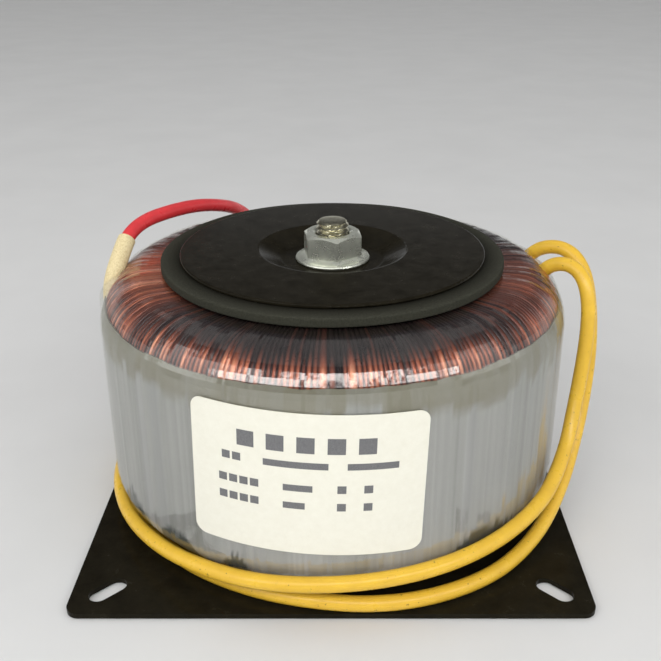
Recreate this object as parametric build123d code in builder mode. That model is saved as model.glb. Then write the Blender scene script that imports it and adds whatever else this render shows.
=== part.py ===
"""Toroidal mains transformer clamped to a square steel foot plate, in millimetres.

The foot plate lies on Z = 0 with its centre at the origin, and the label faces -Y. A centre
bolt runs from a pressed boss in the plate, through two rubber pads and the wound ring, to a
flange nut in a pressed steel dish.
"""
import os
from math import cos, pi, radians, sin, tan

from build123d import *

os.makedirs("parts", exist_ok=True)

# Foot plate
plate_side = 114.0
plate_thickness = 1.2
plate_corner = 3.0
slot_inset = 7.75
slot_length = 9.0
slot_width = 4.4

# Pressed boss that lets the bolt head sit inside the plate
boss_height = 5.6
boss_top_radius = 9.6
boss_base_radius = 12.8
bend_radius = 1.0

# Centre bolt, M8
bolt_radius = 4.0
bolt_clearance = 0.5
head_flats = 13.0
head_height = 5.3
bolt_end_chamfer = 0.9

# Flange nut, M8
nut_flats = 13.0
nut_height = 6.9
nut_bore_clearance = 0.06
flange_radius = 8.95
flange_thickness = 0.8
flange_slope_height = 0.9
nut_chamfer_angle = 30.0
nut_turn = 38.7
bolt_reach = 2.8

# Rubber pads
pad_radius = 41.0
pad_thickness = 2.3
pad_hole_margin = 1.6

# Top dish
dish_radius = 36.5
dish_thickness = 1.0
bowl_depth = 2.9
bowl_floor_radius = 12.8
bowl_lip_radius = 18.4
dish_edge_round = 0.45

# Strip-wound core
core_inner_radius = 26.2
core_outer_radius = 46.9
core_height = 40.2
core_edge_radius = 1.0

# What is wound on the core, from the inside out
layer_gap = 0.1
core_insulation_thickness = 0.8
primary_thickness = 3.4
winding_insulation_thickness = 0.6
secondary_thickness = 2.9
hole_crowding = 1.8

# Visible outer winding
turn_count = 180
turn_relief = 0.5
hole_edge_radius = 4.0

# Grey barrier band round the wall, and the clear film over everything
band_seat = 0.3
band_thickness = 0.4
band_low = 8.0
band_high = 54.5
film_thickness = 0.2
film_shoulder_radius = 11.5
film_foot_radius = 9.0
winding_corner_inset = 1.2

# Label
label_width = 49.5
label_height = 33.0
label_thickness = 0.2
label_corner = 2.5
label_centre_height = 32.8
label_turn = -5.0
label_tilt = -1.6

# Leads
lead_diameter = 3.5
sleeve_bore_clearance = 0.1
sleeve_wall = 0.35
sleeve_run = 3
sleeve_share = 0.55
end_diameter = 2.2
end_length = 8.0
exit_gap = 0.1

# Routes of the leads' centre lines, from inside the shoulder to the bare ends behind the body
yellow_route_1 = [
    (48.8, 14.6, 54.6), (51.3, 13.0, 58.1), (54.4, 10.7, 60.2), (57.8, 8.0, 60.7), (60.7, 5.2, 59.0),
    (62.7, 2.4, 55.0), (63.7, -0.3, 48.4), (63.9, -3.6, 39.4), (62.6, -8.0, 28.8), (59.6, -14.6, 18.4),
    (54.6, -24.5, 9.8), (46.5, -36.8, 4.6), (33.5, -49.0, 3.0), (13.0, -56.8, 3.0), (-10.0, -54.2, 3.0),
    (-27.5, -46.4, 3.0), (-40.0, -35.4, 3.0), (-48.8, -21.5, 3.0), (-53.0, -6.0, 3.0),
    (-52.4, 10.0, 3.0), (-47.4, 24.8, 3.0), (-39.5, 38.0, 3.0), (-31.0, 49.0, 3.0),
]
yellow_route_2 = [
    (50.6, 3.6, 54.8), (52.6, 2.4, 57.6), (55.1, 0.6, 59.3), (57.7, -1.4, 59.5), (59.8, -3.6, 58.0),
    (61.1, -5.9, 54.5), (61.5, -8.0, 48.8), (60.9, -10.2, 40.2), (59.1, -13.6, 29.0),
    (55.8, -21.0, 18.0), (47.8, -34.8, 12.6), (31.5, -50.0, 11.2), (10.5, -58.2, 10.4),
    (-13.0, -57.6, 9.2), (-30.6, -48.6, 7.6), (-42.8, -37.2, 6.4), (-51.6, -22.4, 5.6),
    (-55.8, -6.0, 5.4), (-55.2, 10.6, 5.4), (-50.6, 26.4, 5.2), (-44.8, 39.0, 4.4), (-38.8, 49.0, 3.4),
]
red_route = [
    (-54.0, 5.0, 51.0), (-54.3, 5.0, 55.5), (-53.4, 5.8, 60.0), (-51.0, 8.6, 63.6), (-47.2, 13.8, 65.7),
    (-42.0, 21.2, 66.2), (-36.8, 29.4, 65.4), (-32.0, 38.0, 62.9), (-28.2, 46.6, 59.4),
    (-25.6, 54.4, 54.2), (-23.8, 59.3, 45.6), (-22.0, 61.0, 33.5), (-19.0, 61.0, 20.5),
    (-12.5, 59.6, 9.5), (-1.0, 57.5, 4.0), (14.0, 53.5, 3.0), (29.5, 46.5, 3.0), (42.5, 35.5, 3.0),
]

# Levels and radii that follow from the sizes above
inner_build = (
    4 * layer_gap + core_insulation_thickness + primary_thickness + winding_insulation_thickness
)
ring_build = inner_build + secondary_thickness
film_low = plate_thickness + pad_thickness
core_low = film_low + film_thickness + layer_gap + ring_build
core_high = core_low + core_height
film_high = core_high + ring_build + layer_gap + film_thickness
secondary_radius = core_outer_radius + ring_build
secondary_hole_radius = core_inner_radius - ring_build - hole_crowding
band_inner_radius = secondary_radius + band_seat
band_outer_radius = band_inner_radius + band_thickness
film_radius = band_outer_radius + layer_gap + film_thickness
film_hole_radius = secondary_hole_radius - layer_gap - film_thickness
dish_low = film_high + pad_thickness
dish_high = dish_low + dish_thickness
nut_low = dish_high - bowl_depth
nut_high = nut_low + nut_height


def ring(inner, outer, low, high, corner, top=None, foot=None, mode=Mode.ADD):
    """Round ring of rounded section; top and foot set the two outer corners apart."""
    with BuildSketch(Plane.XZ) as section:
        with Locations(((inner + outer) / 2, (low + high) / 2)):
            Rectangle(outer - inner, high - low)
        fillet(section.vertices().group_by(Axis.X)[0], corner)
        fillet(section.vertices().group_by(Axis.X)[-1].sort_by(Axis.Y)[-1], top or corner)
        fillet(section.vertices().group_by(Axis.X)[-1].sort_by(Axis.Y)[0], foot or corner)
    revolve(section.sketch, axis=Axis.Z, mode=mode)


def layer(depth, mode=Mode.ADD):
    """Ring that stands a depth clear of the core on every side."""
    ring(
        core_inner_radius - depth, core_outer_radius + depth, core_low - depth, core_high + depth,
        core_edge_radius + depth, mode=mode,
    )


def film_ring(inset, mode=Mode.ADD):
    """Ring of the film's outer form, drawn in by an inset."""
    ring(
        film_hole_radius + inset, film_radius - inset, film_low + inset, film_high - inset,
        hole_edge_radius - inset,
        top=film_shoulder_radius - inset,
        foot=film_foot_radius - inset,
        mode=mode,
    )


# Foot plate with its boss and four diagonal slots
slot_place = plate_side / 2 - slot_inset
with BuildPart() as base_plate:
    with BuildSketch():
        RectangleRounded(plate_side, plate_side, plate_corner)
        Circle(boss_base_radius + bend_radius, mode=Mode.SUBTRACT)
        for turn, (x, y) in zip((45, 135, 225, 315), ((1, 1), (-1, 1), (-1, -1), (1, -1))):
            with Locations(Location((x * slot_place, y * slot_place, 0), turn)):
                SlotOverall(slot_length, slot_width, mode=Mode.SUBTRACT)
    extrude(amount=plate_thickness)
    with BuildSketch(Plane.XZ) as boss:
        with BuildLine():
            Polyline(
                (bolt_radius + bolt_clearance, boss_height),
                (boss_top_radius, boss_height),
                (boss_base_radius, 0),
                (boss_base_radius + bend_radius, 0),
                (boss_base_radius + bend_radius, plate_thickness),
                (boss_top_radius + plate_thickness, boss_height + plate_thickness),
                (bolt_radius + bolt_clearance, boss_height + plate_thickness),
                close=True,
            )
        make_face()
    revolve(axis=Axis.Z)
    top_edges = base_plate.edges().filter_by(GeomType.CIRCLE).group_by(Axis.Z)[-1]
    fillet(top_edges.sort_by(SortBy.RADIUS)[-1], bend_radius)
base_plate.part.label = "base_plate"
export_step(base_plate.part, "parts/base_plate.step")

# Hexagon bolt, head up under the boss
with BuildPart() as centre_bolt:
    with BuildSketch(Plane.XY.offset(boss_height - head_height)):
        RegularPolygon(head_flats / 2, 6, major_radius=False)
    extrude(amount=head_height)
    with BuildSketch(Plane.XY.offset(boss_height)):
        Circle(bolt_radius)
    extrude(amount=nut_high + bolt_reach - boss_height)
    chamfer(centre_bolt.edges().group_by(Axis.Z)[-1], bolt_end_chamfer)
centre_bolt.part.label = "centre_bolt"
export_step(centre_bolt.part, "parts/centre_bolt.step")

# Rubber pads: the lower one clears the boss, the upper one clears the bowl of the dish
with BuildPart() as lower_pad:
    with BuildSketch(Plane.XY.offset(plate_thickness)):
        Circle(pad_radius)
        Circle(boss_base_radius + bend_radius + pad_hole_margin, mode=Mode.SUBTRACT)
    extrude(amount=pad_thickness)
lower_pad.part.label = "lower_pad"
export_step(lower_pad.part, "parts/lower_pad.step")

with BuildPart() as upper_pad:
    with BuildSketch(Plane.XY.offset(film_high)):
        Circle(pad_radius)
        Circle(bowl_lip_radius + pad_hole_margin, mode=Mode.SUBTRACT)
    extrude(amount=pad_thickness)
upper_pad.part.label = "upper_pad"
export_step(upper_pad.part, "parts/upper_pad.step")

# Pressed dish whose bowl reaches through the pad to the bolt
with BuildPart() as top_dish:
    with BuildSketch(Plane.XZ) as dish_section:
        with BuildLine():
            Polyline(
                (bolt_radius + bolt_clearance, nut_low - dish_thickness),
                (bowl_floor_radius, nut_low - dish_thickness),
                (bowl_lip_radius, dish_low),
                (dish_radius, dish_low),
                (dish_radius, dish_high),
                (bowl_lip_radius - dish_thickness / 2, dish_high),
                (bowl_floor_radius - dish_thickness / 2, nut_low),
                (bolt_radius + bolt_clearance, nut_low),
                close=True,
            )
        make_face()
        rim = dish_section.vertices().group_by(Axis.X)[-1]
        fillet(rim, dish_edge_round)
        bends = dish_section.vertices().filter_by(
            lambda v: bowl_floor_radius - dish_thickness <= v.X <= bowl_lip_radius + dish_thickness
        )
        fillet(bends, bend_radius)
    revolve(axis=Axis.Z)
top_dish.part.label = "top_dish"
export_step(top_dish.part, "parts/top_dish.step")

# Flange nut in the bowl, its corners taken down by a cone at the top
nut_corner_radius = nut_flats / 2 / cos(pi / 6)
nut_crown = (nut_corner_radius - nut_flats / 2 + bolt_end_chamfer) * tan(radians(nut_chamfer_angle))
with BuildPart() as flange_nut:
    with BuildSketch(Plane.XY.offset(nut_low)):
        RegularPolygon(nut_flats / 2, 6, major_radius=False, rotation=nut_turn)
    extrude(amount=nut_height)
    with BuildSketch(Plane.XZ) as nut_section:
        with BuildLine():
            Polyline(
                (0, nut_low),
                (nut_corner_radius, nut_low),
                (nut_corner_radius, nut_high - nut_crown),
                (nut_flats / 2 - bolt_end_chamfer, nut_high),
                (0, nut_high),
                close=True,
            )
        make_face()
    revolve(axis=Axis.Z, mode=Mode.INTERSECT)
    with BuildSketch(Plane.XZ) as flange_section:
        with BuildLine():
            Polyline(
                (0, nut_low),
                (flange_radius, nut_low),
                (flange_radius, nut_low + flange_thickness),
                (nut_flats / 2, nut_low + flange_thickness + flange_slope_height),
                (0, nut_low + flange_thickness + flange_slope_height),
                close=True,
            )
        make_face()
    revolve(flange_section.sketch, axis=Axis.Z)
    with BuildSketch(Plane.XY.offset(nut_low)):
        Circle(bolt_radius + nut_bore_clearance)
    extrude(amount=nut_height, mode=Mode.SUBTRACT)
flange_nut.part.label = "flange_nut"
export_step(flange_nut.part, "parts/flange_nut.step")

# Core, and what is wound on it inside the visible winding
with BuildPart() as core:
    layer(0)
core.part.label = "core"
export_step(core.part, "parts/core.step")

insulation_depth = layer_gap + core_insulation_thickness
with BuildPart() as core_insulation:
    layer(insulation_depth)
    layer(layer_gap, Mode.SUBTRACT)
core_insulation.part.label = "core_insulation"
export_step(core_insulation.part, "parts/core_insulation.step")

primary_depth = insulation_depth + layer_gap + primary_thickness
with BuildPart() as primary_winding:
    layer(primary_depth)
    layer(insulation_depth + layer_gap, Mode.SUBTRACT)
primary_winding.part.label = "primary_winding"
export_step(primary_winding.part, "parts/primary_winding.step")

wrap_depth = primary_depth + layer_gap + winding_insulation_thickness
with BuildPart() as winding_insulation:
    layer(wrap_depth)
    layer(primary_depth + layer_gap, Mode.SUBTRACT)
winding_insulation.part.label = "winding_insulation"
export_step(winding_insulation.part, "parts/winding_insulation.step")


def turns_outline(radius):
    """Star polygon with one crest for each turn of wire."""
    points = []
    for step in range(2 * turn_count):
        reach = radius - turn_relief * (step % 2)
        angle = pi * step / turn_count
        points.append((reach * cos(angle), reach * sin(angle)))
    return points


# Outer winding: outlines up the foot shoulder, the wall and the top shoulder carry the turns
secondary_low = core_low - ring_build
secondary_high = core_high + ring_build
foot_radius = film_foot_radius - winding_corner_inset
shoulder_radius = film_shoulder_radius - winding_corner_inset
outlines = []
for angle in (-90, -45, 0):
    inward = foot_radius * (1 - cos(radians(angle)))
    upward = foot_radius * (1 + sin(radians(angle)))
    outlines.append((secondary_radius - inward, secondary_low + upward))
for angle in (0, 30, 60, 90):
    inward = shoulder_radius * (1 - cos(radians(angle)))
    downward = shoulder_radius * (1 - sin(radians(angle)))
    outlines.append((secondary_radius - inward, secondary_high - downward))
with BuildPart() as secondary_winding:
    for radius, height in outlines:
        with BuildSketch(Plane.XY.offset(height)):
            Polygon(*turns_outline(radius), align=None)
    loft(ruled=True)
    with BuildSketch(Plane.XY.offset(secondary_low)):
        Circle(secondary_hole_radius)
    extrude(amount=secondary_high - secondary_low, mode=Mode.SUBTRACT)
    fillet(secondary_winding.edges().filter_by(GeomType.CIRCLE), hole_edge_radius)
    layer(wrap_depth + layer_gap, Mode.SUBTRACT)
secondary_winding.part.label = "secondary_winding"
export_step(secondary_winding.part, "parts/secondary_winding.step")

# Barrier band: follows the film's form between two levels
with BuildPart() as barrier_band:
    film_ring(film_thickness + layer_gap)
    film_ring(film_thickness + layer_gap + band_thickness, Mode.SUBTRACT)
    with BuildSketch(Plane.XY.offset(band_low)):
        Circle(film_radius)
        Circle(pad_radius, mode=Mode.SUBTRACT)
    extrude(amount=band_high - band_low, mode=Mode.INTERSECT)
barrier_band.part.label = "barrier_band"
export_step(barrier_band.part, "parts/barrier_band.step")

# Clear film over the whole ring
with BuildPart() as film_wrap:
    film_ring(0)
    film_ring(film_thickness, Mode.SUBTRACT)
film_wrap.part.label = "film_wrap"
export_step(film_wrap.part, "parts/film_wrap.step")

# Label: a curved sheet with rounded corners, a little left of the front
label_inner_radius = film_radius + layer_gap
label_outer_radius = label_inner_radius + label_thickness
label_chord = 2 * label_outer_radius * sin(label_width / label_outer_radius / 2)
label_angle = radians(label_turn)
label_across = (cos(label_angle), sin(label_angle), 0)
label_outward = (sin(label_angle), -cos(label_angle), 0)
label_plane = Plane((0, 0, 0), x_dir=label_across, z_dir=label_outward)
with BuildPart() as label:
    with BuildSketch():
        Circle(label_outer_radius)
        Circle(label_inner_radius, mode=Mode.SUBTRACT)
    extrude(amount=film_high)
    with BuildSketch(label_plane):
        with Locations((0, label_centre_height)):
            RectangleRounded(label_chord, label_height, label_corner, rotation=label_tilt)
    extrude(amount=2 * film_radius, mode=Mode.INTERSECT)
label.part.label = "label"
export_step(label.part, "parts/label.step")

# The room that the body takes up, which cuts each lead off where it leaves the film
with BuildPart() as body_room:
    film_ring(-exit_gap)


def corner_radii(route):
    """Largest arc for each corner that its two runs have room for."""
    radii = []
    for before, corner, after in zip(route, route[1:], route[2:]):
        first = Vector(*corner) - Vector(*before)
        second = Vector(*after) - Vector(*corner)
        turn = first.get_angle(second)
        radii.append(0.45 * min(first.length, second.length) / tan(radians(turn) / 2))
    return radii


def trimmed_tube(route, radii, outer, bore=0.0):
    """Round tube along a route, cut off at the film."""
    with BuildPart() as tube:
        with BuildLine() as path:
            FilletPolyline(*route, radius=radii)
        with BuildSketch(Plane(origin=path.line @ 0, z_dir=path.line % 0)):
            Circle(outer)
            if bore:
                Circle(bore, mode=Mode.SUBTRACT)
        sweep(path=path.line)
        add(body_room.part, mode=Mode.SUBTRACT)
    return tube, path.wire()


def bare_end(line):
    """Stripped and tinned strands beyond the insulation."""
    with BuildPart() as tip:
        with BuildSketch(Plane(origin=line @ 1, z_dir=line % 1)):
            Circle(end_diameter / 2)
        extrude(amount=end_length)
    return tip


routes = {"yellow_lead_1": yellow_route_1, "yellow_lead_2": yellow_route_2, "red_lead": red_route}
for name, route in routes.items():
    radii = corner_radii(route)
    lead, line = trimmed_tube(route, radii, lead_diameter / 2)
    lead.part.label = name
    export_step(lead.part, f"parts/{name}.step")
    section_area = pi * lead_diameter**2 / 4
    print(name, "length", round(line.length, 1), "radii", [round(radius, 1) for radius in radii])
    print(name, "volume over section times length", round(lead.part.volume / section_area / line.length, 4))
    tip = bare_end(line)
    tip.part.label = name.replace("lead", "end")
    export_step(tip.part, f"parts/{tip.part.label}.step")

# Cream sleeve over the root of the red lead
sleeve_bore = lead_diameter / 2 + sleeve_bore_clearance
last = Vector(*red_route[sleeve_run - 1])
following = Vector(*red_route[sleeve_run])
sleeve_end = last + (following - last) * sleeve_share
sleeve_route = red_route[:sleeve_run] + [tuple(sleeve_end)]
sleeve, sleeve_line = trimmed_tube(
    sleeve_route, corner_radii(red_route)[: sleeve_run - 1], sleeve_bore + sleeve_wall, sleeve_bore
)
sleeve.part.label = "lead_sleeve"
export_step(sleeve.part, "parts/lead_sleeve.step")
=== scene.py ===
"""Looks of a toroidal mains transformer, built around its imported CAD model.

Sizes below are in millimetres and are turned into metres where a mesh or curve is made.
"""
import math

import bpy
import numpy as np
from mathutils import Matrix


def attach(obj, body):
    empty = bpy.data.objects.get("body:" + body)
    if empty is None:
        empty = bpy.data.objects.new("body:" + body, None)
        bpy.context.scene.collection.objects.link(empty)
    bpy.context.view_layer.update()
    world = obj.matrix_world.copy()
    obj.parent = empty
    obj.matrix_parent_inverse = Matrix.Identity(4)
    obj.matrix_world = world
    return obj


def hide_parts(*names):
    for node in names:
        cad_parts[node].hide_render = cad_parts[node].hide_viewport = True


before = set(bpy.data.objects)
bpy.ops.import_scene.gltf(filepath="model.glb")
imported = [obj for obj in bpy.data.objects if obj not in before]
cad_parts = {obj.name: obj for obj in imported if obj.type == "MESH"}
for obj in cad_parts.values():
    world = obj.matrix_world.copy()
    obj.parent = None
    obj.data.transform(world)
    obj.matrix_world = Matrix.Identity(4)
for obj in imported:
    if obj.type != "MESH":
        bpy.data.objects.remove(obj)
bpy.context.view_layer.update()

MM = 0.001
TAU = 2 * math.pi
rng = np.random.default_rng(11)
scene = bpy.context.scene

# Camera: focal length and principal point in pixels of a square image
IMAGE_SIDE = 661
FOCAL = 917.0
CENTRE_OFFSET = 14.0
CAMERA_PLACE = (2.88, -209.74, 136.56)
CAMERA_DOWN = 24.36
SENSOR = 36.0

camera_data = bpy.data.cameras.new("camera")
camera_data.sensor_width = SENSOR
camera_data.lens = SENSOR * FOCAL / IMAGE_SIDE
camera_data.shift_x = -CENTRE_OFFSET / IMAGE_SIDE
camera_data.clip_start = 0.01
camera = bpy.data.objects.new("camera", camera_data)
camera.location = [v * MM for v in CAMERA_PLACE]
camera.rotation_euler = (math.radians(90 - CAMERA_DOWN), 0, 0)
scene.collection.objects.link(camera)
scene.camera = camera
scene.view_settings.view_transform = "Standard"

# Sizes shared with the CAD model
LEAD_DIAMETER = 3.5
FILM_RADIUS = 56.0
FILM_LOW = 3.5
FILM_HIGH = 60.5
FILM_HOLE = 15.9
FILM_SHOULDER = 11.5
FILM_FOOT = 9.0
HOLE_EDGE = 4.0
WINDING_RADIUS = 55.0
WINDING_HOLE = 16.2
WINDING_INSET = 1.2
LABEL_RADIUS = 56.3
PAD_RADIUS = 41.0
PAD_THICKNESS = 2.3
UPPER_PAD_HOLE = 20.0
LOWER_PAD_HOLE = 15.4
PLATE_TOP = 1.2
BOLT_RADIUS = 4.0
BOLT_TOP = 70.6

YELLOW_ROUTE_1 = [
    (48.8, 14.6, 54.6), (51.3, 13.0, 58.1), (54.4, 10.7, 60.2), (57.8, 8.0, 60.7), (60.7, 5.2, 59.0),
    (62.7, 2.4, 55.0), (63.7, -0.3, 48.4), (63.9, -3.6, 39.4), (62.6, -8.0, 28.8), (59.6, -14.6, 18.4),
    (54.6, -24.5, 9.8), (46.5, -36.8, 4.6), (33.5, -49.0, 3.0), (13.0, -56.8, 3.0), (-10.0, -54.2, 3.0),
    (-27.5, -46.4, 3.0), (-40.0, -35.4, 3.0), (-48.8, -21.5, 3.0), (-53.0, -6.0, 3.0),
    (-52.4, 10.0, 3.0), (-47.4, 24.8, 3.0), (-39.5, 38.0, 3.0), (-31.0, 49.0, 3.0),
]
YELLOW_ROUTE_2 = [
    (50.6, 3.6, 54.8), (52.6, 2.4, 57.6), (55.1, 0.6, 59.3), (57.7, -1.4, 59.5), (59.8, -3.6, 58.0),
    (61.1, -5.9, 54.5), (61.5, -8.0, 48.8), (60.9, -10.2, 40.2), (59.1, -13.6, 29.0),
    (55.8, -21.0, 18.0), (47.8, -34.8, 12.6), (31.5, -50.0, 11.2), (10.5, -58.2, 10.4),
    (-13.0, -57.6, 9.2), (-30.6, -48.6, 7.6), (-42.8, -37.2, 6.4), (-51.6, -22.4, 5.6),
    (-55.8, -6.0, 5.4), (-55.2, 10.6, 5.4), (-50.6, 26.4, 5.2), (-44.8, 39.0, 4.4), (-38.8, 49.0, 3.4),
]
RED_ROUTE = [
    (-53.0, -4.8, 49.6), (-53.5, -3.8, 52.6), (-53.2, -1.4, 56.6), (-52.0, 3.0, 60.8), (-50.8, 8.0, 64.4),
    (-47.6, 13.8, 66.2), (-42.0, 21.2, 66.4), (-36.8, 29.4, 65.4), (-32.0, 38.0, 62.9), (-28.2, 46.6, 59.4),
    (-25.6, 54.4, 54.2), (-23.8, 59.3, 45.6), (-22.0, 61.0, 33.5), (-19.0, 61.0, 20.5),
    (-12.5, 59.6, 9.5), (-1.0, 57.5, 4.0), (14.0, 53.5, 3.0), (29.5, 46.5, 3.0), (42.5, 35.5, 3.0),
]


def route_curve(name, route, scale):
    """Curve with one smooth spline that has the route's points as its control points."""
    curve = bpy.data.curves.new(name, "CURVE")
    curve.dimensions = "3D"
    spline = curve.splines.new("NURBS")
    spline.points.add(len(route) - 1)
    for point, place in zip(spline.points, route):
        point.co = (*[v * scale for v in place], 1.0)
        point.radius = LEAD_DIAMETER / 2 * MM
    spline.order_u = 3
    spline.use_endpoint_u = True
    spline.resolution_u = 10
    return curve


def lead(name, route):
    """Round lead along a route; its thickness comes from the radius of the points."""
    curve = route_curve(name, route, MM)
    curve.bevel_depth = 1.0
    curve.bevel_resolution = 5
    curve.use_fill_caps = True
    piece = bpy.data.objects.new(name, curve)
    scene.collection.objects.link(piece)
    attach(piece, "root")
    return piece


yellow_1 = lead("yellow_wire_1", YELLOW_ROUTE_1)
yellow_2 = lead("yellow_wire_2", YELLOW_ROUTE_2)
red = lead("red_wire", RED_ROUTE)


def centre_line(route):
    """Points along the smooth line of a route, in millimetres, read from its spline."""
    curve = route_curve("line", route, 1)
    holder = bpy.data.objects.new("line", curve)
    mesh = bpy.data.meshes.new_from_object(holder)
    line = np.array([v.co for v in mesh.vertices])
    bpy.data.objects.remove(holder)
    bpy.data.curves.remove(curve)
    bpy.data.meshes.remove(mesh)
    return line


# Mesh helpers
def new_piece(name, mesh, *materials):
    for material in materials:
        mesh.materials.append(material)
    piece = bpy.data.objects.new(name, mesh)
    scene.collection.objects.link(piece)
    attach(piece, "root")
    return piece


def grid_mesh(name, places, wrap_rows=True, cap_rows=False):
    """Mesh of quads over a grid of places in millimetres; each row closes on itself."""
    rows, columns = places.shape[:2]
    index = np.arange(rows * columns).reshape(rows, columns)
    if wrap_rows:
        index = np.vstack([index, index[:1]])
    index = np.hstack([index, index[:, :1]])
    quads = np.stack([index[:-1, :-1], index[:-1, 1:], index[1:, 1:], index[1:, :-1]], -1).reshape(-1, 4)
    faces = quads.tolist()
    if cap_rows:
        faces.append(list(range(columns))[::-1])
        faces.append(list(range((rows - 1) * columns, rows * columns)))
    mesh = bpy.data.meshes.new(name)
    mesh.from_pydata((places.reshape(-1, 3) * MM).tolist(), [], faces)
    mesh.shade_smooth()
    return mesh


def paint(mesh, name, values):
    """Store one number for each point of a mesh."""
    layer = mesh.attributes.new(name, "FLOAT", "POINT")
    layer.data.foreach_set("value", np.asarray(values, dtype=np.float32).ravel())


def sharpen(mesh, degrees):
    mesh.set_sharp_from_angle(angle=math.radians(degrees))


def ring_outline(inner, outer, low, high, corner, top, foot, arc_steps, wall_steps):
    """Closed outline of a rounded ring: radius, height and outward direction of each point."""
    arcs = (
        ((outer - foot, low + foot), foot, -90, arc_steps, wall_steps),
        ((outer - top, high - top), top, 0, arc_steps, 4),
        ((inner + corner, high - corner), corner, 90, 5, 4),
        ((inner + corner, low + corner), corner, 180, 5, 4),
    )
    points = []
    for number, ((radius, height), bend, start, steps, straight) in enumerate(arcs):
        for angle in np.radians(np.linspace(start, start + 90, steps)):
            across, up = math.cos(angle), math.sin(angle)
            points.append((radius + bend * across, height + bend * up, across, up))
        (next_radius, next_height), next_bend, next_start = arcs[(number + 1) % 4][:3]
        angle = math.radians(next_start)
        goal = np.array(
            (next_radius + next_bend * math.cos(angle), next_height + next_bend * math.sin(angle))
        )
        begin = np.array(points[-1][:2])
        for share in np.linspace(0, 1, straight + 2)[1:-1]:
            points.append((*(begin + (goal - begin) * share), *points[-1][2:]))
    return np.array(points)


def turned(outline, angles, lift):
    """Places on a turned outline, lifted off it by the given amounts."""
    radius = outline[:, None, 0] + outline[:, None, 2] * lift
    height = outline[:, None, 1] + outline[:, None, 3] * lift
    return np.stack([radius * np.cos(angles), radius * np.sin(angles), height], -1)


def smooth_noise(count, waves, seed):
    """Round-the-ring noise of unit size made of a few slow waves."""
    local = np.random.default_rng(seed)
    turn = np.arange(count) * TAU / count
    total = np.zeros(count)
    for wave in range(1, waves + 1):
        total += local.normal() * np.cos(wave * turn + local.uniform(0, TAU)) / math.sqrt(wave)
    return total / np.abs(total).max()


# Material helpers
class Shader:
    """A material with one Principled shader and short calls for the nodes that feed it."""

    def __init__(self, name, colour, roughness, **inputs):
        self.material = bpy.data.materials.new(name)
        self.material.use_nodes = True
        self.nodes = self.material.node_tree.nodes
        self.links = self.material.node_tree.links
        self.surface = self.nodes["Principled BSDF"]
        self.output = self.nodes["Material Output"]
        self.surface.inputs["Base Color"].default_value = (*colour, 1)
        self.surface.inputs["Roughness"].default_value = roughness
        for key, value in inputs.items():
            self.surface.inputs[key.replace("_", " ")].default_value = value

    def node(self, kind, **settings):
        made = self.nodes.new("ShaderNode" + kind)
        for key, value in settings.items():
            setattr(made, key, value)
        return made

    def join(self, source, target):
        self.links.new(source, target)

    def coordinates(self, scale=(1, 1, 1)):
        """Object coordinates in millimetres, stretched by a scale."""
        source = self.node("TexCoord")
        mapping = self.node("Mapping")
        mapping.inputs["Scale"].default_value = [1000 * v for v in scale]
        self.join(source.outputs["Object"], mapping.inputs["Vector"])
        return mapping.outputs["Vector"]

    def noise(self, scale, detail=3.0, rough=0.6, stretch=(1, 1, 1), vector=None):
        made = self.node("TexNoise")
        made.inputs["Scale"].default_value = scale
        made.inputs["Detail"].default_value = detail
        made.inputs["Roughness"].default_value = rough
        self.join(vector or self.coordinates(stretch), made.inputs["Vector"])
        return made.outputs["Fac"]

    def ramp(self, source, *stops):
        made = self.node("ValToRGB")
        ramp = made.color_ramp
        while len(ramp.elements) < len(stops):
            ramp.elements.new(1.0)
        for element, (place, colour) in zip(ramp.elements, stops):
            element.position = place
            element.color = (*colour, 1) if len(colour) == 3 else colour
        self.join(source, made.inputs["Fac"])
        return made.outputs["Color"]

    def range(self, source, low, high, to_low, to_high):
        made = self.node("MapRange")
        for key, value in zip(("From Min", "From Max", "To Min", "To Max"), (low, high, to_low, to_high)):
            made.inputs[key].default_value = value
        self.join(source, made.inputs["Value"])
        return made.outputs["Result"]

    def math(self, operation, first, second):
        made = self.node("Math", operation=operation)
        for socket, value in zip(made.inputs, (first, second)):
            if isinstance(value, (int, float)):
                socket.default_value = value
            else:
                self.join(value, socket)
        return made.outputs["Value"]

    def blend(self, share, first, second, kind="MIX"):
        made = self.node("Mix", data_type="RGBA", blend_type=kind)
        for socket, value in ((made.inputs[0], share), (made.inputs[6], first), (made.inputs[7], second)):
            if isinstance(value, (int, float)):
                socket.default_value = value
            elif isinstance(value, tuple):
                socket.default_value = (*value, 1)
            else:
                self.join(value, socket)
        return made.outputs[2]

    def attribute(self, name):
        return self.node("Attribute", attribute_name=name).outputs["Fac"]

    def bump(self, height, distance, strength=1.0):
        made = self.node("Bump")
        made.inputs["Distance"].default_value = distance * MM
        made.inputs["Strength"].default_value = strength
        self.join(height, made.inputs["Height"])
        self.join(made.outputs["Normal"], self.surface.inputs["Normal"])

    def colour(self, source):
        self.join(source, self.surface.inputs["Base Color"])

    def roughness(self, source):
        self.join(source, self.surface.inputs["Roughness"])


def dress(node, shader):
    """Give a CAD node another material."""
    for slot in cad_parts[node].material_slots:
        slot.material = shader.material


# Materials
copper = Shader(
    "enamelled_copper", (0.5, 0.18, 0.08), 0.3, Metallic=0.6, Coat_Weight=0.25, Coat_Roughness=0.15,
)
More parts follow.
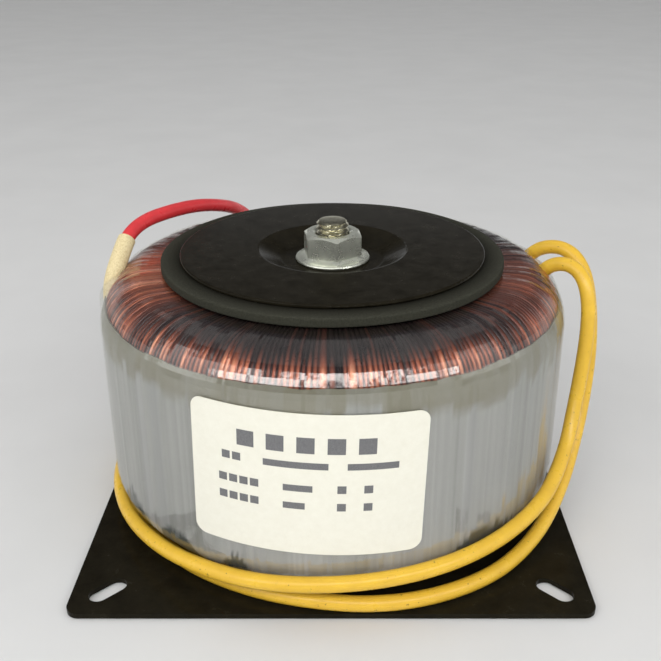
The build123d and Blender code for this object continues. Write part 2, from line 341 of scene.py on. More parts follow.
# Tone of each turn, stored on the winding mesh: the turns' own random shades plus painted light, which is
# lighter on the shoulder, sides and foot and darker on the top, front and between turns.
tone_with_painted_light = copper.attribute("tone_with_painted_light")
wear = copper.noise(0.35, 4)
copper.colour(
    copper.blend(
        copper.range(wear, 0.35, 0.7, 0.0, 0.30),
        copper.ramp(
            tone_with_painted_light,
            (0.0, (0.010, 0.006, 0.009)), (0.30, (0.030, 0.018, 0.020)), (0.55, (0.22, 0.062, 0.040)),
            (0.80, (0.52, 0.15, 0.08)), (1.0, (0.90, 0.38, 0.23)),
        ),
        (0.10, 0.055, 0.05),
    )
)
copper.roughness(copper.range(wear, 0.3, 0.7, 0.24, 0.45))

band_cloth = Shader("grey_band", (0.33, 0.33, 0.32), 0.6, Specular_IOR_Level=0.25)
fine = band_cloth.noise(0.9, 5, 0.7, stretch=(1, 1, 0.06))
grey = band_cloth.ramp(
    band_cloth.attribute("streak"),
    (0.0, (0.20, 0.205, 0.195)), (0.35, (0.295, 0.30, 0.29)),
    (0.7, (0.36, 0.36, 0.355)), (1.0, (0.47, 0.47, 0.475)),
)
grey = band_cloth.blend(band_cloth.range(fine, 0.3, 0.7, 0.0, 0.4), grey, (0.30, 0.305, 0.30))
grey = band_cloth.blend(band_cloth.attribute("top_share"), grey, (0.205, 0.195, 0.145))
# Darker patches low on the band.
grey = band_cloth.blend(band_cloth.attribute("low_dark_patch"), grey, (0.075, 0.085, 0.085))
band_cloth.colour(grey)
band_cloth.bump(fine, 0.12, 0.6)

black_paint = Shader("black_paint", (0.012, 0.0115, 0.010), 0.20, Specular_IOR_Level=0.06)
dust = black_paint.noise(0.22, 6, 0.75)
black_paint.colour(black_paint.ramp(dust, (0.35, (0.009, 0.0076, 0.0045)), (0.75, (0.018, 0.0152, 0.009))))
black_paint.roughness(black_paint.range(dust, 0.3, 0.75, 0.14, 0.32))
black_paint.bump(black_paint.noise(0.8, 3), 0.02, 0.5)

rubber = Shader("pad_rubber", (0.05, 0.052, 0.045), 0.85, Specular_IOR_Level=0.06)
grain = rubber.noise(3.2, 6, 0.8)
# Painted shade: the top faces of the pads get a darker copy of the rubber than their sides.
side_share_top_shaded = rubber.attribute("side_share_top_shaded")
rubber.colour(
    rubber.blend(
        side_share_top_shaded,
        rubber.ramp(grain, (0.3, (0.007, 0.007, 0.005)), (0.7, (0.022, 0.021, 0.015))),
        rubber.ramp(grain, (0.3, (0.018, 0.018, 0.013)), (0.7, (0.062, 0.062, 0.047))),
    )
)
rubber.bump(grain, 0.12, 0.8)

zinc = Shader("zinc_plate", (0.60, 0.60, 0.52), 0.28, Metallic=0.82)
spangle = zinc.noise(0.9, 5, 0.7)
zinc.colour(
    zinc.ramp(spangle, (0.25, (0.72, 0.75, 0.64)), (0.5, (0.80, 0.82, 0.71)), (0.8, (0.86, 0.87, 0.76)))
)
zinc.roughness(zinc.range(zinc.noise(0.25, 2), 0.3, 0.7, 0.24, 0.34))
zinc.bump(zinc.noise(1.6, 3), 0.01, 0.2)

stud_steel = Shader("stud_steel", (0.52, 0.49, 0.36), 0.26, Metallic=1.0)
tarnish = stud_steel.noise(1.2, 4, 0.7)
stud_steel.colour(stud_steel.ramp(tarnish, (0.3, (0.46, 0.43, 0.30)), (0.7, (0.66, 0.63, 0.48))))


def wire_cover(name, colour, dark, speck_colour, speck_from):
    """Plastic cover of a lead: two shades, a few specks and a slightly uneven gloss."""
    shader = Shader(name, colour, 0.32, Specular_IOR_Level=0.45)
    mottle = shader.noise(0.25, 4)
    shades = shader.blend(shader.range(mottle, 0.35, 0.7, 0.0, 0.6), colour, dark)
    specks = shader.noise(1.3, 2, 0.5)
    speck_share = shader.range(specks, speck_from, speck_from + 0.05, 0.0, 0.75)
    shader.colour(shader.blend(speck_share, shades, speck_colour))
    shader.roughness(shader.range(mottle, 0.3, 0.7, 0.24, 0.42))
    shader.bump(shader.noise(0.9, 4), 0.05, 0.5)
    return shader


yellow_cover = wire_cover("yellow_pvc", (0.80, 0.50, 0.045), (0.68, 0.40, 0.03), (0.20, 0.12, 0.01), 0.69)
red_cover = wire_cover("red_pvc", (0.72, 0.042, 0.050), (0.56, 0.028, 0.034), (0.20, 0.01, 0.012), 0.74)

sleeve_cloth = Shader("cream_sleeve", (0.74, 0.60, 0.34), 0.6, Specular_IOR_Level=0.3)
weave = sleeve_cloth.noise(2.6, 3)
sleeve_cloth.colour(sleeve_cloth.ramp(weave, (0.3, (0.62, 0.50, 0.26)), (0.7, (0.84, 0.72, 0.44))))
sleeve_cloth.bump(weave, 0.1, 0.8)

tin = Shader("tinned_strand", (0.72, 0.70, 0.66), 0.3, Metallic=1.0)
tin.colour(tin.ramp(tin.noise(2.0, 4), (0.3, (0.50, 0.48, 0.44)), (0.7, (0.80, 0.79, 0.75))))

paper = Shader("label_paper", (0.88, 0.86, 0.76), 0.5, Specular_IOR_Level=0.2)
fibre = paper.noise(0.6, 6, 0.7)
paper.colour(paper.ramp(fibre, (0.25, (0.81, 0.79, 0.68)), (0.75, (0.86, 0.845, 0.74))))
paper.bump(paper.noise(2.5, 4), 0.02, 0.5)

ink = Shader("label_ink", (0.16, 0.16, 0.165), 0.6)
ink.colour(ink.ramp(ink.noise(5.0, 3), (0.3, (0.12, 0.12, 0.125)), (0.7, (0.20, 0.20, 0.205))))

# Wound steel core and what is wound on it under the visible wire
steel = Shader("core_strip", (0.32, 0.33, 0.34), 0.4, Metallic=0.9)
layers = steel.noise(6.0, 3, 0.6, stretch=(0.2, 0.2, 1.5))
steel.colour(steel.ramp(layers, (0.3, (0.20, 0.21, 0.22)), (0.7, (0.44, 0.45, 0.46))))
steel.bump(layers, 0.06, 0.7)

polyester = Shader("polyester_wrap", (0.78, 0.74, 0.52), 0.35, Specular_IOR_Level=0.4)
folds = polyester.noise(0.5, 4, 0.6, stretch=(1, 1, 0.2))
polyester.colour(polyester.ramp(folds, (0.3, (0.66, 0.60, 0.38)), (0.7, (0.84, 0.80, 0.60))))
polyester.bump(folds, 0.1, 0.6)

hidden_wire = Shader("inner_copper", (0.55, 0.20, 0.09), 0.32, Metallic=0.7)
strands_seen = hidden_wire.noise(1.4, 3, 0.6, stretch=(1, 1, 0.08))
hidden_wire.colour(hidden_wire.ramp(strands_seen, (0.3, (0.22, 0.07, 0.035)), (0.7, (0.72, 0.30, 0.15))))
hidden_wire.bump(strands_seen, 0.2, 0.8)

# Clear film: see-through, with a mirror gloss that grows at low angles and a very faint haze
film = Shader("clear_film", (1.0, 1.0, 0.98), 0.06, Metallic=1.0)
haze = film.noise(0.12, 4, 0.6, stretch=(1, 1, 0.35))
film.bump(film.noise(0.9, 4, 0.6, stretch=(1, 1, 0.3)), 0.09, 0.45)
clear = film.node("BsdfTransparent")
clear.inputs["Color"].default_value = (0.985, 0.985, 0.975, 1)
facing = film.node("LayerWeight")
facing.inputs["Blend"].default_value = 0.5
low_angle = film.math("POWER", facing.outputs["Facing"], 5.0)
gloss = film.math("ADD", film.math("MULTIPLY", low_angle, 0.35), film.range(haze, 0.35, 0.7, 0.050, 0.085))
sheet_mix = film.node("MixShader")
film.join(gloss, sheet_mix.inputs["Fac"])
film.join(clear.outputs["BSDF"], sheet_mix.inputs[1])
film.join(film.surface.outputs["BSDF"], sheet_mix.inputs[2])
film.join(sheet_mix.outputs["Shader"], film.output.inputs["Surface"])

# Outer winding: each turn is a ridge that runs over the shoulder and down the wall
TURNS = 290
WIRE_SAMPLES = np.array([0.0, 0.10, 0.28, 0.5, 0.72, 0.90])
WIRE_RELIEF = 0.50
spacing = 1 + 0.10 * rng.normal(size=TURNS).clip(-2, 2) + 0.08 * smooth_noise(TURNS, 24, 3)
spacing[rng.choice(TURNS, 20, replace=False)] += 0.6
starts = np.concatenate([[0], np.cumsum(spacing)])
starts *= TAU / starts[-1]
wire_of = np.repeat(np.arange(TURNS), len(WIRE_SAMPLES))
share_of = np.tile(WIRE_SAMPLES, TURNS)
column_angle = starts[wire_of] + share_of * (starts[1:] - starts[:-1])[wire_of]
crest = np.sqrt(1 - (2 * share_of - 1) ** 2)
outline = ring_outline(
    WINDING_HOLE, WINDING_RADIUS, FILM_LOW + 0.3, FILM_HIGH - 0.3, HOLE_EDGE,
    FILM_SHOULDER - WINDING_INSET, FILM_FOOT - WINDING_INSET, 11, 5,
)
outward = outline[:, 0] / WINDING_RADIUS
wire_drop = 0.10 * np.abs(rng.normal(size=TURNS)).clip(0, 2)
relief = WIRE_RELIEF * np.clip((outward - 0.55) / 0.2, 0, 1)
sink_share = np.clip(outward - 0.6, 0, 0.3) / 0.3
lift = relief[:, None] * (crest - 1)[None, :] - wire_drop[wire_of][None, :] * sink_share[:, None]
sway = smooth_noise(TURNS, 60, 5)[wire_of] * 0.018 + smooth_noise(TURNS, 9, 6)[wire_of] * 0.02
above_wall = np.clip((outline[:, 1] - 40) / 20, 0, 1) * np.clip((WINDING_RADIUS - outline[:, 0]) / 14, 0, 1)
angles = column_angle[None, :] + above_wall[:, None] * sway[None, :]
winding_mesh = grid_mesh("winding_turns", turned(outline, angles, lift))
wire_tone = 0.60 + 0.12 * rng.normal(size=TURNS) + 0.12 * smooth_noise(TURNS, 14, 8)
pale_turn = rng.random(TURNS) < 0.16
# Painted light and shade: turns over the shoulder are painted lighter and those on the top darker, after how
# light falls on them.
shoulder_painted_light = np.exp(-((outline[:, 0] - 53.3) / 2.9) ** 2) * (outline[:, 1] > 30)
# Painted light: low on the wall, below the band and in the shade of the leads, the turns are painted lighter
# to show an amber line along the foot.
foot_painted_light = (outline[:, 0] > 44) * (outline[:, 1] < 10)
on_top = np.clip((52.0 - outline[:, 0]) / 4, 0, 1) * (outline[:, 1] > 30)


def facing_share(angle, degrees, spread, power=2):
    """One near a direction round the ring, falling to nothing away from it."""
    away = np.angle(np.exp(1j * (angle - math.radians(degrees)))) / math.radians(spread)
    return np.exp(-np.abs(away) ** power)


# Painted light and shade round the ring: the top is painted lighter towards the left and right sides, and the
# shoulder darker at the front.
left_painted_light = facing_share(starts[:-1], 188, 34)[wire_of]
right_painted_light = facing_share(starts[:-1], -18, 28)[wire_of]
front_painted_shade = facing_share(starts[:-1], -88, 40, 4)[wire_of]
tones_with_painted_light = wire_tone[wire_of][None, :] * (0.46 + 0.98 * shoulder_painted_light[:, None] - 0.10 * on_top[:, None])
tones_with_painted_light = tones_with_painted_light + on_top[:, None] * (0.14 * pale_turn[wire_of] + 0.62 * left_painted_light + 0.42 * right_painted_light)[None, :]
tones_with_painted_light = tones_with_painted_light - shoulder_painted_light[:, None] * 0.10 * front_painted_shade[None, :] + 0.30 * foot_painted_light[:, None]
# Painted shade: the valleys between turns are painted darker, most on the shoulder, leaving a narrow lit
# crest on each turn.
tones_with_painted_light = tones_with_painted_light - (0.10 + 0.36 * shoulder_painted_light[:, None]) * (1 - crest**3)[None, :]
paint(winding_mesh, "tone_with_painted_light", np.clip(tones_with_painted_light, 0, 1))
winding = new_piece("winding_turns", winding_mesh, copper.material)
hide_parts("secondary_winding")

# Grey band: closed thin strip over the wall, with uneven edges and panes of slightly different grey
BAND_COLUMNS = 600
BAND_LOW, BAND_HIGH = 8.0, 54.5
BAND_THICKNESS = 0.4
BAND_GAP = 0.3
PANES = 150
TEETH = 120
whole = ring_outline(
    FILM_HOLE + BAND_GAP, FILM_RADIUS - BAND_GAP, FILM_LOW + BAND_GAP, FILM_HIGH - BAND_GAP, HOLE_EDGE,
    FILM_SHOULDER - BAND_GAP, FILM_FOOT - BAND_GAP, 25, 22,
)
strip = whole[(whole[:, 0] > PAD_RADIUS) & (whole[:, 1] >= BAND_LOW) & (whole[:, 1] <= BAND_HIGH)]
band_angle = np.arange(BAND_COLUMNS) * TAU / BAND_COLUMNS
ripple = 0.04 * rng.normal(size=BAND_COLUMNS) + 0.05 * smooth_noise(BAND_COLUMNS, 80, 21)
outer = turned(strip, band_angle, np.minimum(ripple, 0.06)[None, :] * np.ones((len(strip), 1)))
inner_side = turned(strip, band_angle, -BAND_THICKNESS + np.zeros((len(strip), BAND_COLUMNS)))
edge_wave = 0.30 * smooth_noise(BAND_COLUMNS, 60, 23) + 0.05 * rng.normal(size=BAND_COLUMNS).clip(-2, 2)
edge_wave = edge_wave - 6.0 * facing_share(band_angle, 184.0, 3.2, 4)
outer[-1, :, 2] += edge_wave
inner_side[-1, :, 2] += edge_wave
low_wave = 0.30 * smooth_noise(BAND_COLUMNS, 90, 24)
outer[0, :, 2] += low_wave
inner_side[0, :, 2] += low_wave
band_mesh = grid_mesh("band_strip", np.concatenate([outer, inner_side[::-1]]))
sharpen(band_mesh, 40)
band_column = np.arange(BAND_COLUMNS)
pane = np.searchsorted(np.sort(rng.choice(BAND_COLUMNS, PANES, replace=False)), band_column)
pane_tone = rng.normal(size=PANES + 1)[pane].clip(-2, 2)
pane_drop = rng.normal(size=PANES + 1)[pane].clip(-2, 2)
streaks = 0.5 + 0.10 * rng.normal(size=BAND_COLUMNS) + 0.10 * smooth_noise(BAND_COLUMNS, 60, 25)
streaks = np.clip(streaks + 0.09 * pane_tone, 0, 1)
paint(band_mesh, "streak", np.tile(streaks, (2 * len(strip), 1)))
level = np.concatenate([strip[:, 1], strip[::-1, 1]])
fade_from = 46.6 + 1.2 * smooth_noise(BAND_COLUMNS, 70, 27) + 1.3 * pane_drop
fade = np.clip((level[:, None] - fade_from[None, :]) / 1.6, 0, 1) * (0.84 + 0.10 * pane_tone)[None, :]
paint(band_mesh, "top_share", fade)

# Dark patches low on the band: middle and half width in degrees and height, with a saw-toothed edge
PATCHES = (
    (-146, 9, 15.5), (-128, 8, 14.0), (-112, 5, 12.5), (-52, 13, 15.5), (30, 14, 14.0), (120, 16, 15.0),
)
band_degrees = (np.degrees(band_angle) + 180) % 360 - 180
patch_top = np.zeros(BAND_COLUMNS)
for middle, half_width, height in PATCHES:
    away = np.abs((band_degrees - middle + 180) % 360 - 180) / half_width
    patch_top = np.maximum(patch_top, (height + 3) * np.clip(1.25 - away, 0, 1) ** 0.4)
tooth_starts = np.sort(rng.choice(BAND_COLUMNS, TEETH, replace=False))
tooth = np.searchsorted(tooth_starts, band_column, side="right") - 1
tooth_width = np.diff(tooth_starts, append=BAND_COLUMNS)[tooth]
tooth_place = np.clip((band_column - tooth_starts[tooth]) / tooth_width, 0, 1)
tooth_height = rng.uniform(0.4, 3.4, TEETH)[tooth] * (1 - tooth_place)
patch_top = patch_top - 4.2 + tooth_height + 1.0 * smooth_noise(BAND_COLUMNS, 60, 29)
low_dark_patch = np.clip((patch_top[None, :] - level[:, None]) / 0.8, 0, 1)
paint(band_mesh, "low_dark_patch", low_dark_patch)
band = new_piece("band_strip", band_mesh, band_cloth.material)
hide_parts("barrier_band")

# Clear film: flat strips that meet in creases, with raised places over the roots of the leads
FILM_THICKNESS = 0.2
FACETS = 220
FACET_SAMPLES = 3
RAISED_PLACES = ((183.8, 53.5, 3.2, 4.0, 1.2), (13.5, 57.6, 3.0, 2.2, 0.7), (2.5, 57.4, 3.0, 2.2, 0.7))
facet_width = np.exp(0.45 * rng.normal(size=FACETS))
borders = np.concatenate([[0], np.cumsum(facet_width)])
borders *= TAU / borders[-1]
border_lift = 0.04 * rng.normal(size=FACETS).clip(-2, 2)
facet_of = np.repeat(np.arange(FACETS), FACET_SAMPLES)
along = np.tile(np.arange(FACET_SAMPLES) / FACET_SAMPLES, FACETS)
film_angle = borders[facet_of] + along * (borders[1:] - borders[:-1])[facet_of]
half = (borders[1:] - borders[:-1])[facet_of] / 2
from_middle = np.abs(2 * along - 1) * half
flat_drop = FILM_RADIUS * (np.cos(half) / np.cos(from_middle) - 1)
next_lift = np.roll(border_lift, -1)
facet_lift = border_lift[facet_of] * (1 - along) + next_lift[facet_of] * along
film_outline = ring_outline(
    FILM_HOLE, FILM_RADIUS, FILM_LOW, FILM_HIGH, HOLE_EDGE, FILM_SHOULDER, FILM_FOOT, 14, 9,
)
out_share = np.clip((film_outline[:, 0] - 42) / 6, 0, 1)
border_slope = 0.011 * rng.normal(size=FACETS).clip(-2, 2) + 0.012 * smooth_noise(FACETS, 30, 41)
facet_slope = border_slope[facet_of] * (1 - along) + np.roll(border_slope, -1)[facet_of] * along
shoulder_bend = np.arctan2(film_outline[:, 1] - (FILM_HIGH - FILM_SHOULDER), film_outline[:, 0] - 44.5)
shoulder_arc = FILM_SHOULDER * (np.clip(shoulder_bend, 0, math.pi / 2) - math.radians(38))
shoulder_arc = np.where(film_outline[:, 1] > 40, shoulder_arc, shoulder_arc.min())
film_lift = np.maximum(flat_drop, -0.12) + facet_lift + facet_slope * shoulder_arc[:, None]
film_lift = out_share[:, None] * film_lift


def bulge(angle_degrees, height, across, up, size):
    """Raised place on the film round a direction and height, with its half widths and size."""
    off = np.angle(np.exp(1j * (film_angle - math.radians(angle_degrees))))
    side = off[None, :] * film_outline[:, None, 0] / across
    rise = (film_outline[:, None, 1] - height) / up
    return size * np.exp(-(side**2) - rise**2) * (film_outline[:, None, 0] > 40)


for raised_place in RAISED_PLACES:
    film_lift = film_lift + bulge(*raised_place)
film_places = turned(film_outline, film_angle, film_lift)
film_back = turned(film_outline, film_angle, film_lift - FILM_THICKNESS)
outside = grid_mesh("film_cover", film_places)
inside = grid_mesh("film_inside", film_back)
inside.flip_normals()
both = bpy.data.meshes.new("film_cover")
count = film_places.shape[0] * film_places.shape[1]
faces = [list(p.vertices) for p in outside.polygons]
faces += [[v + count for v in p.vertices] for p in inside.polygons]
both.from_pydata((np.concatenate([film_places, film_back]).reshape(-1, 3) * MM).tolist(), [], faces)
both.shade_smooth()
sharpen(both, 1.4)
bpy.data.meshes.remove(outside)
bpy.data.meshes.remove(inside)
film_piece = new_piece("film_cover", both, film.material)
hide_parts("film_wrap")

# Label: paper from the CAD model with plain printed fields on it
dress("label", paper)
LABEL_CENTRE = math.radians(-90 - 5.0)
LABEL_MIDDLE = 32.8
LABEL_TILT = math.radians(-1.6)
INK_HEIGHT = 0.03
HEADING = [(-14.2 + 6.15 * n, 3.6, 7.7, 3.6) for n in range(5)]
SMALL = 1.8
ROWS = [(-17.6 + 2.3 * n, SMALL, 4.0, SMALL) for n in range(2)]
ROWS += [(-8.7, 13.2, 4.1, 1.5), (8.3, 10.4, 4.1, 1.5)]
for low, wide in ((-1.4, 6.0), (-5.6, 4.5)):
    ROWS += [(-18.4 + 2.3 * n, SMALL, low, SMALL) for n in range(4)]
    ROWS += [(-4.6, wide, low + 0.1, 1.5), (6.4, SMALL, low, SMALL), (11.8, SMALL, low, SMALL)]


def curved_field(left, width, low, height, steps=10):
    """Thin closed field on the label's curve, placed from the label's middle along its tilt."""
    along = np.linspace(left, left + width, steps)
    section = [(-INK_HEIGHT, low), (INK_HEIGHT, low), (INK_HEIGHT, low + height), (-INK_HEIGHT, low + height)]
    places = []
    for out, up in section:
        turn = LABEL_CENTRE + (along * math.cos(LABEL_TILT) - up * math.sin(LABEL_TILT)) / LABEL_RADIUS
        high = LABEL_MIDDLE + along * math.sin(LABEL_TILT) + up * math.cos(LABEL_TILT)
        radius = LABEL_RADIUS + out
        places.append(np.stack([radius * np.cos(turn), radius * np.sin(turn), high], -1))
    return np.stack(places, 1)


def joined(name, grids):
    """One mesh of several tubes with closed ends."""
    places, faces, start = [], [], 0
    for grid in grids:
        part = grid_mesh("part", grid, wrap_rows=False, cap_rows=True)
        faces += [[v + start for v in p.vertices] for p in part.polygons]
        places.append(grid.reshape(-1, 3) * MM)
        start += len(part.vertices)
        bpy.data.meshes.remove(part)
    mesh = bpy.data.meshes.new(name)
    mesh.from_pydata(np.concatenate(places).tolist(), [], faces)
    mesh.shade_smooth()
    return mesh


print_mesh = joined("label_print", [curved_field(*field) for field in HEADING + ROWS])
sharpen(print_mesh, 40)
print_piece = new_piece("label_print", print_mesh, ink.material)


# Rubber pads with a soft edge
def pad(name, low, high, hole, node, seed):
    columns = 360
    section = ring_outline(hole, PAD_RADIUS, low, high, 0.35, 0.5, 0.5, 6, 3)
    turn = np.arange(columns) * TAU / columns
    wobble = 0.08 * smooth_noise(columns, 12, seed)
    edge = (section[:, 0] > PAD_RADIUS - 0.6) * np.ones((columns, 1))
    places = turned(section, turn, edge.T * (wobble[None, :] - 0.08))
    mesh = grid_mesh(name, places)
    # Share of the pad's side in the rubber's colour; the top face is painted darker as shade.
    paint(mesh, "side_share_top_shaded", edge.T)
    piece = new_piece(name, mesh, rubber.material)
    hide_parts(node)


pad("top_rubber", FILM_HIGH, FILM_HIGH + PAD_THICKNESS, UPPER_PAD_HOLE, "upper_pad", 31)
pad("base_rubber", PLATE_TOP, FILM_LOW, LOWER_PAD_HOLE, "lower_pad", 32)

dress("top_dish", black_paint)
dress("base_plate", black_paint)
dress("core", steel)
dress("core_insulation", polyester)
dress("primary_winding", hidden_wire)
dress("winding_insulation", polyester)

# Centre bolt: hexagon head, plain shank and a rolled thread with a chamfered end
PITCH = 1.25
THREAD_LOW = 52.0
THREAD_DEPTH = 0.62
HEAD_LOW, HEAD_HIGH = 0.3, 5.6
HEAD_FLATS = 13.0
END_CHAMFER = 0.9
BOLT_COLUMNS = 48
turn = np.arange(BOLT_COLUMNS) * TAU / BOLT_COLUMNS
heights = np.arange(THREAD_LOW, BOLT_TOP + 0.01, PITCH / 10)
phase = (heights[:, None] / PITCH - turn[None, :] / TAU) % 1
groove = THREAD_DEPTH * np.clip(np.abs(2 * phase - 1) * 1.25 - 0.1, 0, 1)
run_in = np.clip((heights - THREAD_LOW) / PITCH, 0, 1)[:, None]
limit = BOLT_RADIUS - np.clip(heights - (BOLT_TOP - END_CHAMFER), 0, END_CHAMFER)[:, None]
thread_radius = np.minimum(BOLT_RADIUS - 0.12 - groove * run_in, limit)
shank_radii = np.full((2, BOLT_COLUMNS), BOLT_RADIUS - 0.03)
shank_levels = np.array([HEAD_HIGH, 30.0])[:, None] * np.ones(BOLT_COLUMNS)
tip_radii = np.array([2.4, 0.9])[:, None] * np.ones(BOLT_COLUMNS)
tip_levels = np.full((2, BOLT_COLUMNS), BOLT_TOP)
radii = np.vstack([shank_radii, thread_radius, tip_radii])
levels = np.vstack([shank_levels, np.repeat(heights[:, None], BOLT_COLUMNS, 1), tip_levels])
bolt_grid = np.stack([radii * np.cos(turn), radii * np.sin(turn), levels], -1)
hexagon = HEAD_FLATS / 2 / np.cos((turn + math.pi / 6) % (math.pi / 3) - math.pi / 6)
rounded = np.minimum(hexagon, 6.9)
head_rows = [
    (rounded * 0.90, HEAD_LOW), (np.minimum(hexagon, 7.1), HEAD_LOW + 0.35), (hexagon, HEAD_LOW + 0.8),
    (hexagon, HEAD_HIGH),
]
head_grid = np.stack(
    [np.stack([r * np.cos(turn), r * np.sin(turn), np.full(BOLT_COLUMNS, h)], -1) for r, h in head_rows]
)
bolt_mesh = joined("threaded_bolt", [bolt_grid, head_grid])
sharpen(bolt_mesh, 35)
bolt = new_piece("threaded_bolt", bolt_mesh, stud_steel.material)
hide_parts("centre_bolt")

# Flange nut: softened hexagon over a rounded flange
NUT_COLUMNS = 240
NUT_LOW, NUT_HIGH = 60.9, 67.8
NUT_FLATS = 13.0
NUT_TURN = math.radians(38.7)
FLANGE_RADIUS = 8.95
FLANGE_ROUND = 0.4
NUT_BORE = 4.06
turn = np.arange(NUT_COLUMNS) * TAU / NUT_COLUMNS
from_flat = (turn - NUT_TURN) % (math.pi / 3) - math.pi / 6
flat_radius = np.minimum(NUT_FLATS / 2 / np.cos(from_flat), 7.36)
around = np.ones(NUT_COLUMNS)
rows = [(NUT_BORE * around, NUT_LOW), (FLANGE_RADIUS * around - 0.25, NUT_LOW)]
for bend in np.radians((-45, 0, 45, 80)):
    edge_radius = FLANGE_RADIUS - FLANGE_ROUND + FLANGE_ROUND * math.cos(bend)
    rows.append((around * edge_radius, NUT_LOW + 0.42 + FLANGE_ROUND * math.sin(bend)))
for share in (0.0, 0.35, 0.7, 1.0):
    blend_in = 8.3 + (flat_radius - 8.3) * share
    rows.append((blend_in, NUT_LOW + 0.85 + 0.75 * share**1.6))
crown = np.maximum(flat_radius - 6.15, 0)
rows.append((flat_radius, NUT_HIGH - 0.12 - 0.62 * crown))
rows.append((flat_radius - 0.10, NUT_HIGH - 0.04 - 0.62 * crown))
for reach in (6.1, 5.6):
    rows.append((np.minimum(reach, flat_radius - 0.2) * around, NUT_HIGH - 0.02 * (reach - 5.6)))
rows.append(((NUT_BORE + 0.7) * around, NUT_HIGH))
rows.append((NUT_BORE * around, NUT_HIGH - 0.6))
nut_grid = np.stack(
    [np.stack([r * np.cos(turn), r * np.sin(turn), np.broadcast_to(h, r.shape)], -1) for r, h in rows]
)
nut_mesh = grid_mesh("nut_body", nut_grid)
sharpen(nut_mesh, 32)
nut = new_piece("nut_body", nut_mesh, zinc.material)
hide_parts("flange_nut")


# Leads: bare strands at their ends and the sleeve round the red one
def frames_along(line):
    """Two directions across a line at each of its points, turning as little as they can."""
    tangents = np.gradient(line, axis=0)
    tangents /= np.linalg.norm(tangents, axis=1)[:, None]
    side = np.cross(tangents[0], (0.3, 0.1, 1.0))
    sides = []
    for tangent in tangents:
        side = side - tangent * np.dot(side, tangent)
        side = side / np.linalg.norm(side)
        sides.append(side)
    sides = np.array(sides)
    return sides, np.cross(tangents, sides)


def tube(line, radius, sides=12):
    """Grid round a line; the radius is one number or one for each point."""
    across, up = frames_along(line)
    turn = np.arange(sides) * TAU / sides
    size = np.broadcast_to(radius, (len(line),))[:, None, None]
    ring = across[:, None, :] * np.cos(turn)[None, :, None] + up[:, None, :] * np.sin(turn)[None, :, None]
    return line[:, None, :] + ring * size


def strands(name, route, node, shader):
    """Stripped end: a core strand and six twisted round it."""
    start = np.array(route[-1])
    direction = start - np.array(route[-2])
    direction /= np.linalg.norm(direction)
    steps = np.linspace(-1.0, 7.9, 30)
    line = start + steps[:, None] * direction
    across, up = frames_along(line)
    wire = 0.36
    grids = [tube(line, wire)]
    for number in range(6):
        turn = number * TAU / 6 + steps / 9.0 * TAU * 0.8
        swirl = across * np.cos(turn)[:, None] + up * np.sin(turn)[:, None]
        grids.append(tube(line + 2 * wire * swirl, wire))
    mesh = joined(name, grids)
    sharpen(mesh, 50)
    piece = new_piece(name, mesh, shader.material)
    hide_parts(node)
    return piece


strand_1 = strands("bare_strands_1", YELLOW_ROUTE_1, "yellow_end_1", tin)
strand_2 = strands("bare_strands_2", YELLOW_ROUTE_2, "yellow_end_2", tin)
strand_3 = strands("bare_strands_3", RED_ROUTE, "red_end", tin)

SLEEVE_RADIUS = 2.2
SLEEVE_BORE = 1.82
SLEEVE_LENGTH = 18.8
red_line = centre_line(RED_ROUTE)
reach = np.concatenate([[0], np.cumsum(np.linalg.norm(np.diff(red_line, axis=0), axis=1))])
sleeve_line = red_line[reach <= SLEEVE_LENGTH]
outer_skin = tube(sleeve_line, SLEEVE_RADIUS, 24)
inner_skin = tube(sleeve_line, SLEEVE_BORE, 24)
sleeve_mesh = grid_mesh("sleeve_cover", np.concatenate([outer_skin, inner_skin[::-1]]))
sharpen(sleeve_mesh, 50)
sleeve = new_piece("sleeve_cover", sleeve_mesh, sleeve_cloth.material)
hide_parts("lead_sleeve")

for piece, node, shader, slot_name, route, length, ends in (
    (yellow_1, "yellow_lead_1", yellow_cover, "yellow_pvc", YELLOW_ROUTE_1, 0.2839, [strand_1]),
    (yellow_2, "yellow_lead_2", yellow_cover, "yellow_pvc", YELLOW_ROUTE_2, 0.2711, [strand_2]),
    (red, "red_lead", red_cover, "red_pvc", RED_ROUTE, 0.1858, [strand_3, sleeve]),
):
    piece.data.materials.append(shader.material)
    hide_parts(node)

# Floor, light and background
floor_shader = Shader("floor", (0.66, 0.66, 0.655), 0.7, Specular_IOR_Level=0.2)
floor_shader.colour(
    floor_shader.ramp(floor_shader.noise(0.02, 3), (0.3, (0.65, 0.65, 0.645)), (0.7, (0.68, 0.68, 0.675)))
)
floor_mesh = bpy.data.meshes.new("floor")
FLOOR_REACH = 4.0
FLOOR_LEVEL = -0.0003
corners = ((-1, -1), (1, -1), (1, 1), (-1, 1))
floor_mesh.from_pydata(
    [(x * FLOOR_REACH, y * FLOOR_REACH, FLOOR_LEVEL) for x, y in corners], [], [(0, 1, 2, 3)],
)
floor_mesh.materials.append(floor_shader.material)
floor = bpy.data.objects.new("floor", floor_mesh)
scene.collection.objects.link(floor)

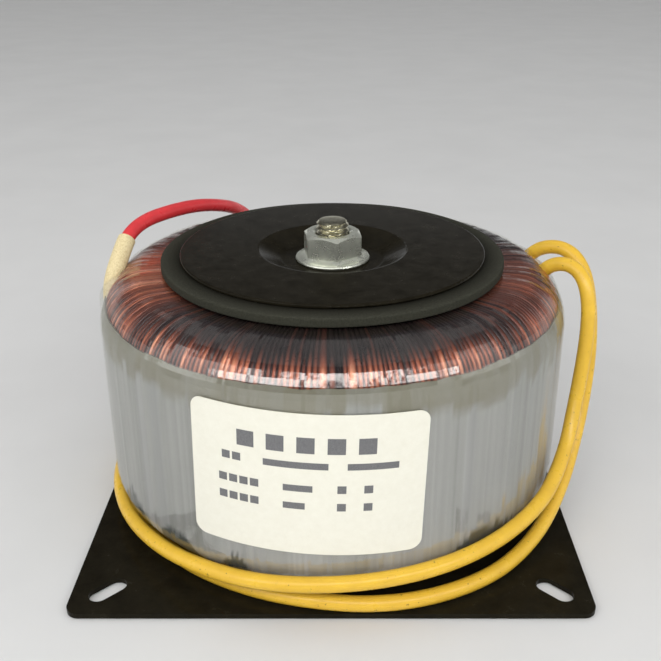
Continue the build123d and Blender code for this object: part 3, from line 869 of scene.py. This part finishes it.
# Diffuse light is even; reflections and the camera see a pale low sky and a dark high one
AMBIENT = 0.56
world = bpy.data.worlds.new("studio")
world.use_nodes = True
tree = world.node_tree
ambient = tree.nodes["Background"]
ambient.inputs["Color"].default_value = (1.0, 1.0, 1.0, 1)
ambient.inputs["Strength"].default_value = AMBIENT
backdrop = tree.nodes.new("ShaderNodeBackground")
direction = tree.nodes.new("ShaderNodeTexCoord")
upward = tree.nodes.new("ShaderNodeSeparateXYZ")
tree.links.new(direction.outputs["Generated"], upward.inputs["Vector"])
fall = tree.nodes.new("ShaderNodeValToRGB")
fall.color_ramp.elements[0].position = 0.12
fall.color_ramp.elements[0].color = (0.70, 0.71, 0.72, 1)
fall.color_ramp.elements[1].position = 0.32
fall.color_ramp.elements[1].color = (0.07, 0.07, 0.075, 1)
tree.links.new(upward.outputs["Z"], fall.inputs["Fac"])
tree.links.new(fall.outputs["Color"], backdrop.inputs["Color"])
backdrop.inputs["Strength"].default_value = 1.0
path = tree.nodes.new("ShaderNodeLightPath")
seen = tree.nodes.new("ShaderNodeMath")
seen.operation = "MAXIMUM"
seen_more = tree.nodes.new("ShaderNodeMath")
seen_more.operation = "MAXIMUM"
tree.links.new(path.outputs["Is Camera Ray"], seen.inputs[0])
tree.links.new(path.outputs["Is Glossy Ray"], seen.inputs[1])
tree.links.new(seen.outputs["Value"], seen_more.inputs[0])
tree.links.new(path.outputs["Is Transmission Ray"], seen_more.inputs[1])
sky = tree.nodes.new("ShaderNodeMixShader")
tree.links.new(seen_more.outputs["Value"], sky.inputs["Fac"])
tree.links.new(ambient.outputs["Background"], sky.inputs[1])
tree.links.new(backdrop.outputs["Background"], sky.inputs[2])
tree.links.new(sky.outputs["Shader"], tree.nodes["World Output"].inputs["Surface"])
scene.world = world


def lamp(name, place, aim, size, watts):
    """Rectangular soft lamp at a place, aimed at a point, both in metres."""
    data = bpy.data.lights.new(name, "AREA")
    data.shape = "RECTANGLE"
    data.size, data.size_y = size
    data.energy = watts
    holder = bpy.data.objects.new(name, data)
    holder.location = place
    away = np.array(place) - np.array(aim)
    holder.rotation_euler = (
        math.atan2(math.hypot(away[0], away[1]), away[2]), 0, math.atan2(away[1], away[0]) + math.pi / 2,
    )
    scene.collection.objects.link(holder)


lamp("key", (0.0, -0.50, 0.46), (0, 0, 0.03), (1.45, 0.17), 3.9)
lamp("overhead", (0.0, 0.30, 1.10), (0, 0, 0.03), (1.4, 1.4), 1.5)
lamp("left", (-0.75, -0.25, 0.40), (0, 0, 0.03), (0.6, 0.6), 1.0)
lamp("right", (0.75, -0.25, 0.40), (0, 0, 0.03), (0.6, 0.6), 0.7)

bpy.context.view_layer.update()
